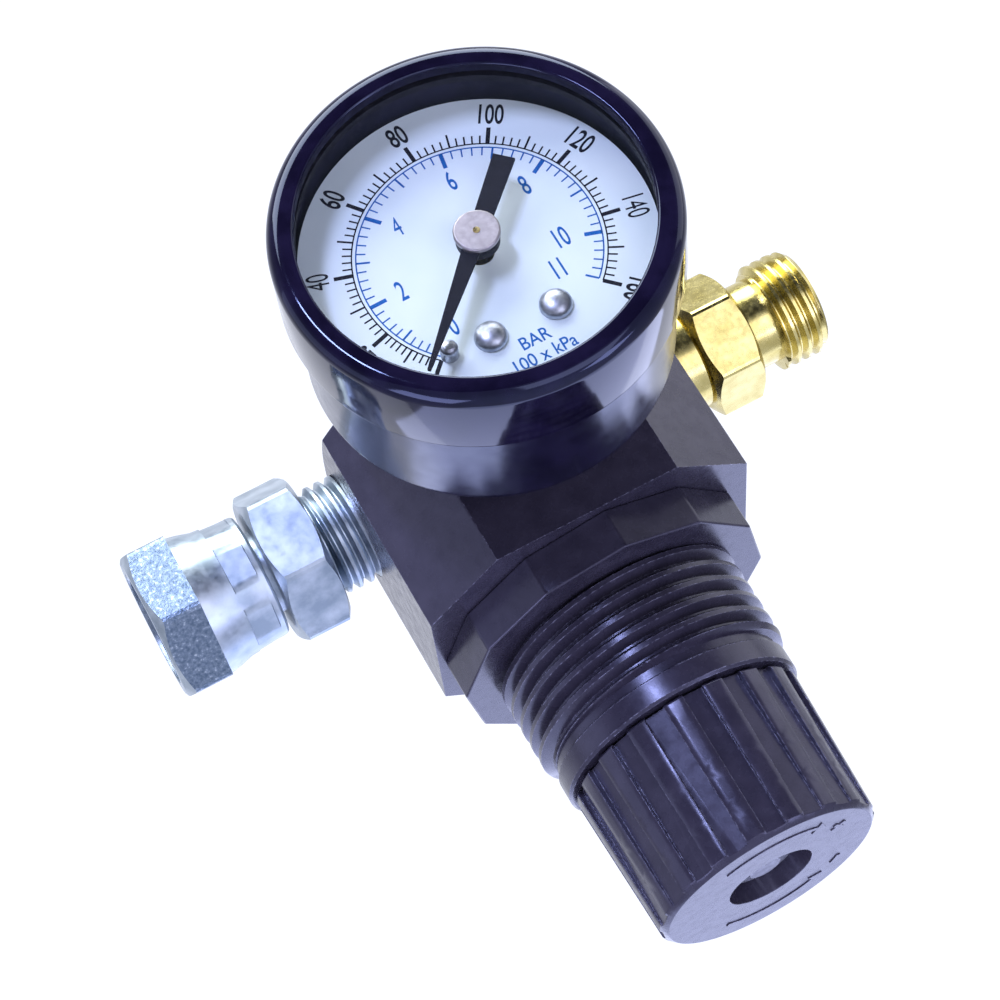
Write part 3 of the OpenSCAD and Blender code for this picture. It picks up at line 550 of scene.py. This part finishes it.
def bonnet():
    low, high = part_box("bonnet")
    screw_bore_r, guide_bore_r, guide_r = 3.05 * MM, 8.4 * MM, 11.4 * MM
    cavity_r, spigot_r, neck_r, flange_r = 11.2 * MM, 13.4 * MM, 14.4 * MM, 19 * MM
    floor_low, floor_high, neck_low = -13 * MM, -10 * MM, -15.5 * MM
    flange_low, flange_high, flange_sides, flange_turn = 0.0, 5 * MM, 12, 5.6
    relief_low = -(PANEL_LEN + 1.1 * MM)
    small, large = 0.15 * MM, 0.3 * MM
    root_r = PANEL_R - PANEL_DEPTH
    inside_flange = flange_high - MM
    core = lathe("bonnet_core", Matrix.Identity(4), [
        (screw_bore_r, floor_high), (cavity_r, floor_high), (cavity_r, high.z), (spigot_r, high.z),
        (spigot_r, inside_flange), (root_r, inside_flange), (root_r, relief_low),
        (neck_r - small, relief_low), (neck_r, relief_low - small), (neck_r, neck_low + large),
        (neck_r - large, neck_low), (guide_r, neck_low), (guide_r, low.z), (guide_bore_r, low.z),
        (guide_bore_r, floor_low), (screw_bore_r, floor_low),
    ])
    dress(core, "black_plastic", replaces=["bonnet"])
    thread = helix("bonnet_thread", Matrix.Rotation(math.pi, 4, "X"), PANEL_R, root_r, spigot_r - MM,
                   PANEL_PITCH, 0.0, PANEL_LEN, relief=0.5 * MM)
    dress(thread, "black_plastic", replaces=["bonnet"])
    flange = polygon_ring("bonnet_flange", flange_r, spigot_r - MM, flange_low, flange_high,
                          flange_sides, flange_turn)
    dress(bevel(flange, 0.25 * MM, 3), "black_plastic", replaces=["bonnet"])


# ---- fittings ----------------------------------------------------------------------------------

def inlet_fitting():
    place = along_inlet()
    low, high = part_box("inlet_nipple")
    bore_r, neck_r, under_hex_r, shoulder_r = 3.2 * MM, 5.25 * MM, 5.9 * MM, 6.2 * MM
    body_thread_r, root_r = PIPE_R - 0.02 * MM, PIPE_R - PIPE_DEPTH
    body_face, shoulder_end, hex_low, hex_high = 19.7 * MM, 24 * MM, 24.3 * MM, 30.8 * MM
    inside_hex, mouth = 25 * MM, 1.1 * MM
    thread_start = high.x - PIPE_LEN
    core = lathe("inlet_core", place, [
        (bore_r, low.x), (body_thread_r, low.x), (body_thread_r, body_face), (shoulder_r, body_face),
        (shoulder_r, shoulder_end), (under_hex_r, shoulder_end + 0.35 * MM), (under_hex_r, inside_hex),
        (neck_r, inside_hex), (neck_r, thread_start + 0.3 * MM),
        (root_r - 0.3 * MM, high.x - 0.35 * MM), (root_r - 0.65 * MM, high.x),
        (bore_r + mouth, high.x), (bore_r, high.x - mouth),
    ])
    dress(core, "brass", replaces=["inlet_nipple"])
    nut = turned_hex("inlet_hex", place, 14.3 * MM, hex_low, hex_high, 25.3, 5 * MM, 0.45 * MM)
    dress(nut, "brass", replaces=["inlet_nipple"])
    thread = helix("inlet_thread", place, PIPE_R, root_r, bore_r + 1.4 * MM, PIPE_PITCH,
                   thread_start, high.x, relief=0.9 * MM)
    dress(thread, "brass", replaces=["inlet_nipple"])


def outlet_fitting():
    place = along_outlet()
    low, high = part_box("outlet_nipple")
    near, far = -high.x, -low.x
    bore_r, nose_r, stem_r, root_r = 2.6 * MM, 4 * MM, 5 * MM, PIPE_R - PIPE_DEPTH
    thread_end, hex_low, inside_hex, hex_high = 24.3 * MM, 24.7 * MM, 24.9 * MM, 31.2 * MM
    core = lathe("outlet_core", place, [
        (bore_r, near), (root_r, near), (root_r, inside_hex), (stem_r, inside_hex), (stem_r, far - MM),
        (nose_r, far), (bore_r, far),
    ])
    dress(core, "zinc_steel", replaces=["outlet_nipple"])
    nut = turned_hex("outlet_hex", place, 17 * MM, hex_low, hex_high, -7.2, 4.8 * MM, 0.15 * MM)
    dress(nut, "zinc_steel", replaces=["outlet_nipple"])
    thread = helix("outlet_body_thread", place, PIPE_R, root_r, 4 * MM, PIPE_PITCH, near, thread_end,
                   relief=0.6 * MM)
    dress(thread, "zinc_steel", replaces=["outlet_nipple"])


def crimped_collar(place, start, hex_start, thread_start):
    """The swivel nut's round collar, with six flats pressed into it."""
    sides = 216
    flat_distance, first_flat = 7.15 * MM, 21
    crimp_low, crimp_high, step = start + 0.9 * MM, start + 4.1 * MM, 0.08 * MM
    inside_hex, lip_end = hex_start + 0.3 * MM, 34.6 * MM
    # Radius in millimetres, height, and whether the flats are pressed in there
    rows = [(5.05, start, False), (6.9, start, False), (7.2, start + 0.08 * MM, False),
            (7.4, start + 0.35 * MM, False), (7.46, crimp_low, False), (7.46, crimp_low + step, True),
            (7.75, crimp_high - step, True), (7.76, crimp_high, False), (7.85, start + 5.1 * MM, False),
            (8.3, start + 6.7 * MM, False), (8.66, inside_hex, False), (6.9, inside_hex, False),
            (6.9, thread_start, False), (6.3, thread_start, False), (6.3, lip_end, False),
            (5.05, lip_end, False)]
    points = []
    for radius, height, crimped in rows:
        for i in range(sides):
            turn = 360 * i / sides
            reach = radius * MM
            if crimped:
                off_flat = math.radians((turn - first_flat + 30) % 60 - 30)
                reach = min(reach, flat_distance / math.cos(off_flat))
            angle = math.radians(turn)
            points.append(place @ Vector((reach * math.cos(angle), reach * math.sin(angle), height)))
    return mesh_object("nut_collar", points, grid_faces(len(rows), sides, True, True), 20)


def swivel_nut():
    place = along_outlet()
    low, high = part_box("swivel_nut")
    start, end = -high.x, -low.x
    thread_start, hex_start = 37 * MM, 40.1 * MM
    collar = crimped_collar(place, start, hex_start, thread_start)
    dress(collar, "zinc_steel", "swivel", replaces=["swivel_nut"])
    nut = turned_hex("nut_hex", place, 17.4 * MM, hex_start, end, 4.7, 6.9 * MM, 0.45 * MM,
                     square_low=True)
    dress(nut, "zinc_steel", "swivel", replaces=["swivel_nut"])
    nut.data.materials.append(BLASTED)
    for face in nut.data.polygons:
        if abs(face.normal.x) < 0.05:
            face.material_index = 1
    thread = helix("nut_thread", place, FEMALE_R, FEMALE_R + 0.7 * MM, 7.2 * MM, PIPE_PITCH,
                   thread_start, end - 0.05 * MM, relief=0.8 * MM)
    dress(thread, "zinc_steel", "swivel", replaces=["swivel_nut"])


# ---- gauge -------------------------------------------------------------------------------------

def line_inside(piece, radius):
    """Matt paint on the faces nearer the gauge axis than the radius."""
    piece.data.materials.append(LINING)
    for face in piece.data.polygons:
        if math.hypot(face.center.x, face.center.z - AXIS_Z) < radius:
            face.material_index = 1


def gauge_shell():
    """The drawn case, and the rolled bezel pressed over it."""
    sides = 256
    case_low, case_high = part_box("gauge_case")
    back, front = -case_high.y, -case_low.y
    case_r = case_high.x
    hole_r, wall, bend = 5.6 * MM, 0.6 * MM, 2 * MM
    profile = [(hole_r, back)]
    profile += arc(case_r - bend, back + bend, bend, -90, 0, 10)
    profile += [(case_r, front), (case_r - wall, front)]
    profile += arc(case_r - bend, back + bend, bend - wall, 0, -90, 8)
    profile += [(hole_r, back + wall)]
    shell = dress(lathe("case_shell", gauge_forward(), profile, sides), "gloss_black",
                  material=CASE_ENAMEL, replaces=["gauge_case"])
    line_inside(shell, case_r - wall / 2)

    bezel_low, bezel_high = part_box("gauge_bezel")
    skirt, rim = -bezel_high.y, -bezel_low.y
    bezel_r, lip_r, inner_r = bezel_high.x, 18.4 * MM, case_r + 0.05 * MM
    skirt_round, rim_round, lip_round = 0.45 * MM, 1.7 * MM, 0.35 * MM
    window_top = 49.6 * MM
    profile = [(inner_r, skirt), (bezel_r - skirt_round, skirt)]
    profile += arc(bezel_r - skirt_round, skirt + skirt_round, skirt_round, -90, 0, 5)
    profile += arc(bezel_r - rim_round, rim - rim_round, rim_round, 0, 90, 14)
    profile += arc(lip_r + lip_round, rim - lip_round, lip_round, 90, 180, 6)
    profile += [(lip_r, window_top), (inner_r, window_top)]
    ring = dress(lathe("bezel_ring", gauge_forward(), profile, sides), "gloss_black",
                 replaces=["gauge_bezel"])
    line_inside(ring, lip_r + 0.05 * MM)


def on_dial(turn, radius):
    """Place on the dial: degrees clockwise from the top, metres from the middle."""
    angle = math.radians(turn)
    return Vector((radius * math.sin(angle), radius * math.cos(angle)))


def tick(turn, inner, outer, width):
    """Corners of one printed mark."""
    along = on_dial(turn, 1)
    across = Vector((along.y, -along.x)) * (width / 2)
    return [along * inner - across, along * inner + across,
            along * outer + across, along * outer - across]


def raised_shapes(name, place, outlines, low, high):
    """Flat shapes with straight walls between two heights, from lists of corners."""
    points, faces = [], []
    for outline in outlines:
        first, count = len(points), len(outline)
        for level in (low, high):
            points += [place @ Vector((p.x, p.y, level)) for p in outline]
        faces += [tuple(range(first, first + count)), tuple(range(first + count, first + 2 * count))]
        for i in range(count):
            j = (i + 1) % count
            faces.append((first + i, first + j, first + count + j, first + count + i))
    return mesh_object(name, points, faces)


def band(radius, width, start, end, steps):
    """Outline of a printed arc between two turns."""
    turns = [start + (end - start) * i / steps for i in range(steps + 1)]
    inner = [on_dial(turn, radius - width / 2) for turn in turns]
    return inner + [on_dial(turn, radius + width / 2) for turn in reversed(turns)]


def number_mesh(text, size, squeeze, weight, turn, place_2d, height):
    """Mesh of one printed number, turned clockwise and centred on a place on the dial."""
    curve = bpy.data.curves.new("number", "FONT")
    curve.body = text
    curve.size = size
    curve.align_x, curve.align_y = "CENTER", "CENTER"
    curve.extrude = 0.006 * MM
    # The outline of a 4 folds over itself when it is thickened, so a 4 keeps the plain weight
    curve.offset = 0.0 if "4" in text else weight * size
    curve.resolution_u = 6
    holder = bpy.data.objects.new("number", curve)
    bpy.context.scene.collection.objects.link(holder)
    mesh = bpy.data.meshes.new_from_object(holder.evaluated_get(bpy.context.evaluated_depsgraph_get()))
    place = gauge_forward() @ Matrix.Translation((place_2d.x, place_2d.y, height))
    place = place @ Matrix.Rotation(math.radians(-turn), 4, "Z") @ Matrix.Diagonal((squeeze, 1, 1, 1))
    mesh.transform(place)
    bpy.data.objects.remove(holder)
    piece = bpy.data.objects.new("number", mesh)
    bpy.context.scene.collection.objects.link(piece)
    return piece


def psi_turn(psi):
    """Place of a pressure on the scale: even from 20 psi up, with the first 20 psi closer."""
    even_zero, per_psi, first_even = -141.25, 1.7295, 20
    if psi >= first_even:
        return even_zero + per_psi * psi
    return ZERO_TURN + (even_zero + per_psi * first_even - ZERO_TURN) * psi / first_even


def dial_printing():
    ground = -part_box("gauge_dial")[0].y + 0.004 * MM
    surface = ground + 0.012 * MM
    psi_ring, bar_ring, ring_w = 13.2 * MM, 12.75 * MM, 0.15 * MM
    top_psi, top_bar, psi_per_bar = 160, 11, 14.504
    black, blue = [], []
    for psi in range(0, top_psi + 1, 2):
        outer, width = 14.2, 0.18
        if psi % 10 == 0:
            outer, width = 14.85, 0.22
        if psi % 20 == 0:
            outer, width = 15.2, 0.45
        black.append(tick(psi_turn(psi), psi_ring, outer * MM, width * MM))
    black.append(band(psi_ring, ring_w, ZERO_TURN, psi_turn(top_psi), 90))
    for fifth in range(0, top_bar * 5 + 1):
        inner, width = 11.75, 0.16
        if fifth % 5 == 0:
            inner, width = 11.3, 0.22
        if fifth % 10 == 0 and fifth:
            inner, width = 10.9, 0.45
        blue.append(tick(psi_turn(fifth / 5 * psi_per_bar), inner * MM, bar_ring, width * MM))
    blue.append(band(bar_ring, ring_w, ZERO_TURN, psi_turn(top_bar * psi_per_bar), 90))
    place = gauge_forward()
    dress(raised_shapes("psi_scale", place, black, ground, surface), "dial", material=BLACK_INK)
    dress(raised_shapes("bar_scale", place, blue, ground, surface), "dial", material=BLUE_INK)
    numbers = []
    for psi in range(20, top_psi + 1, 20):
        turn = psi_turn(psi)
        centre = on_dial(turn, 16.75 * MM)
        numbers.append(number_mesh(str(psi), 3.4 * MM, 0.6, 0.015, turn, centre, ground))
    dress(join("psi_numbers", numbers), "dial", material=BLACK_INK)
    numbers = []
    for bar in (0, 2, 4, 6, 8, 10, 11):
        radius = (9.1 if bar < 10 else 8.45) * MM
        centre = on_dial(psi_turn(bar * psi_per_bar), radius)
        numbers.append(number_mesh(str(bar), 3.4 * MM, 0.54, 0.011, 0, centre, ground))
    for unit, height in (("BAR", -11.9), ("100 x kPa", -13.95)):
        numbers.append(number_mesh(unit, 2.15 * MM, 0.86, 0.008, 0, Vector((0, height * MM)), ground))
    dress(join("bar_numbers", numbers), "dial", material=BLUE_INK)


def dial_screws():
    rim_height, tip_r = 0.2 * MM, 0.02 * MM
    for name in ("dial_screw_left", "dial_screw_right"):
        low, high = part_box(name)
        centre = (low + high) / 2
        place = gauge_forward() @ Matrix.Translation((centre.x, centre.z - AXIS_Z, 0))
        base, top = -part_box("gauge_dial")[0].y, -low.y
        radius = (high.x - low.x) / 2
        dome = [(radius * math.cos(a), base + rim_height + (top - base - rim_height) * math.sin(a))
                for a in (math.radians(8 * i) for i in range(11))]
        profile = [(tip_r, base), (radius, base)] + dome + [(tip_r, top)]
        head = lathe(name + "_head", place, profile, 64)
        dress(head, "zinc_steel", material=POLISHED, replaces=[name])


def polish_gauge_parts():
    frame["nodes"]["stop_pin"].data.materials[0] = POLISHED
    frame["nodes"]["pointer_cap"].data.materials[0] = SATIN
    frame["nodes"]["pinion_shaft"].data.materials[0] = MOVEMENT_BRASS
    bevel(frame["nodes"]["pointer"], 0.05 * MM, 2, weld=True)
    bevel(frame["nodes"]["pointer_cap"], 0.06 * MM, 2, weld=True)


# ---- knob, springs and small metal -------------------------------------------------------------

def turn_marks(centre_turn, way):
    """Outlines of an arc with an arrow head, and of the minus or plus that it points to."""
    radius, width, head_half, sign_half = 9.6 * MM, 0.55 * MM, 1.1 * MM, 0.95 * MM
    # Turns in degrees: half the arc, the head's length, and from the arc's end to the sign's middle
    reach, head_turn, sign_gap, sign_turn = 34, 9, 24, 5
    head = centre_turn + way * reach
    tip = head + way * head_turn
    sign = head + way * sign_gap
    outlines = [
        band(radius, width, centre_turn - reach, centre_turn + reach, 24),
        [on_dial(head, radius - head_half), on_dial(head, radius + head_half), on_dial(tip, radius)],
        band(radius, width, sign - sign_turn, sign + sign_turn, 4),
    ]
    if way > 0:
        outlines.append(tick(sign, radius - sign_half, radius - width / 2, width))
        outlines.append(tick(sign, radius + width / 2, radius + sign_half, width))
    return outlines


def finish_knob():
    """Rounded ribs, and the two turning directions raised on the end face."""
    sunk, proud = -0.05 * MM, 0.12 * MM
    bevel(frame["nodes"]["adjusting_knob"], 0.12 * MM, 2, weld=True)
    end = Matrix.Translation((0, 0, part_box("adjusting_knob")[0].z)) @ Matrix.Rotation(math.pi, 4, "X")
    outlines = turn_marks(0, 1) + turn_marks(180, -1)
    marks = raised_shapes("knob_turn_marks", end, outlines, sunk, proud)
    dress(bevel(marks, 0.04 * MM, 2), "black_plastic", "knob")


def shortening_spring(node):
    """Copy of a spring's mesh in drawn steel, standing in for the CAD node."""
    coil = bpy.data.objects.new(node + "_coil", frame["nodes"][node].data.copy())
    bpy.context.scene.collection.objects.link(coil)
    dress(coil, "spring_steel", replaces=[node])
    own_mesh(coil)


def round_small_metal():
    for name in ("valve_plug", "spring_nut", "adjusting_screw", "gauge_socket", "knob_clip"):
        bevel(frame["nodes"][name], 0.1 * MM, 2, weld=True)
    for name in ("adjusting_screw", "knob_clip"):
        # The screw and clip in the knob's bore take the darkened steel as painted shade
        frame["nodes"][name].data.materials[0] = BORE_SHADED_STEEL


# ---- studio ------------------------------------------------------------------------------------

def studio_floor():
    material = Finish("pale_floor", 0.9)
    material.colour(0.002, [(0.3, (0.68, 0.69, 0.76)), (0.7, (0.72, 0.73, 0.8))])
    floor = disc("floor", 4, FLOOR_Z - 0.002, FLOOR_Z, 60)
    floor.data.materials.append(material.material)


def studio_world():
    """Soft white surroundings, darker around the viewpoint and brighter behind the object."""
    world = bpy.data.worlds.new("studio")
    bpy.context.scene.world = world
    world.use_nodes = True
    nodes, links = world.node_tree.nodes, world.node_tree.links
    direction = nodes.new("ShaderNodeTexCoord").outputs["Generated"]

    def toward(aim, edge_low, edge_high, value_low, value_high):
        dot = nodes.new("ShaderNodeVectorMath")
        dot.operation = "DOT_PRODUCT"
        dot.inputs[1].default_value = Vector(aim).normalized()
        links.new(direction, dot.inputs[0])
        shade = nodes.new("ShaderNodeMapRange")
        shade.interpolation_type = "SMOOTHSTEP"
        for socket, value in zip(("From Min", "From Max", "To Min", "To Max"),
                                 (edge_low, edge_high, value_low, value_high)):
            shade.inputs[socket].default_value = value
        links.new(dot.outputs["Value"], shade.inputs["Value"])
        return shade.outputs["Result"]

    behind = toward((0.1, 0.85, 0.3), 0.05, 0.8, 0.3, 1.25)
    dark = toward((0.03, -1, 0.02), 0.2, 0.8, 1.0, 0.06)
    product = nodes.new("ShaderNodeMath")
    product.operation = "MULTIPLY"
    links.new(behind, product.inputs[0])
    links.new(dark, product.inputs[1])
    background = nodes["Background"]
    background.inputs["Color"].default_value = (0.85, 0.88, 1.0, 1)
    links.new(product.outputs[0], background.inputs["Strength"])


def softbox(name, place, aim, width, height, power, colour=(1, 1, 1)):
    light = bpy.data.lights.new(name, "AREA")
    light.shape = "RECTANGLE"
    light.size, light.size_y = width, height
    light.energy = power
    light.color = colour
    lamp = bpy.data.objects.new(name, light)
    lamp.location = place
    lamp.rotation_euler = (Vector(aim) - Vector(place)).to_track_quat("-Z", "Y").to_euler()
    lamp.visible_camera = False
    bpy.context.scene.collection.objects.link(lamp)


def studio_lights():
    softbox("below_behind", (0.02, 0.36, -0.2), (0, 0, 0.01), 0.6, 0.5, 2.1, (0.58, 0.64, 1.0))
    softbox("front_left", (-0.13, -0.6, 0.25), (0, 0, 0), 0.06, 0.18, 2.8, (0.56, 0.62, 1.0))
    softbox("below_left", (-0.3, -0.12, -0.22), (0, 0, -0.03), 0.2, 0.2, 0.8, (0.66, 0.67, 1.0))
    softbox("left", (-0.42, -0.05, 0.1), (0, 0, 0), 0.25, 0.4, 0.3, (0.7, 0.75, 1.0))
    softbox("front_fill", (0.12, -0.5, -0.3), (0, 0, -0.01), 0.35, 0.3, 0.9, (0.8, 0.8, 1.0))
    softbox("below_right", (0.2, -0.2, -0.34), (0, 0, -0.01), 0.15, 0.15, 0.5, (0.66, 0.67, 1.0))
    softbox("right", (0.4, -0.1, 0.15), (0, 0, 0), 0.3, 0.4, 0.5)
    softbox("top", (0.05, -0.25, 0.46), (0, 0, 0.02), 0.6, 0.3, 4.6, (0.93, 0.98, 1.0))


def camera():
    data = bpy.data.cameras.new("camera")
    data.lens = CAMERA_LENS
    data.sensor_width = 36
    data.clip_start = 0.01
    viewer = bpy.data.objects.new("camera", data)
    up = (CAMERA_UP - CAMERA_UP.project(CAMERA_RIGHT)).normalized()
    right = CAMERA_RIGHT.normalized()
    axes = Matrix((right, up, right.cross(up))).transposed().to_4x4()
    viewer.matrix_world = Matrix.Translation(CAMERA_PLACE) @ axes
    bpy.context.scene.collection.objects.link(viewer)
    bpy.context.scene.camera = viewer
    bpy.context.scene.view_settings.view_transform = "Standard"


dress_cad_nodes()
finish_body()
bonnet()
inlet_fitting()
outlet_fitting()
swivel_nut()
gauge_shell()
dial_printing()
dial_screws()
polish_gauge_parts()
finish_knob()
shortening_spring("range_spring")
shortening_spring("valve_spring")
round_small_metal()
studio_floor()
studio_world()
studio_lights()
camera()
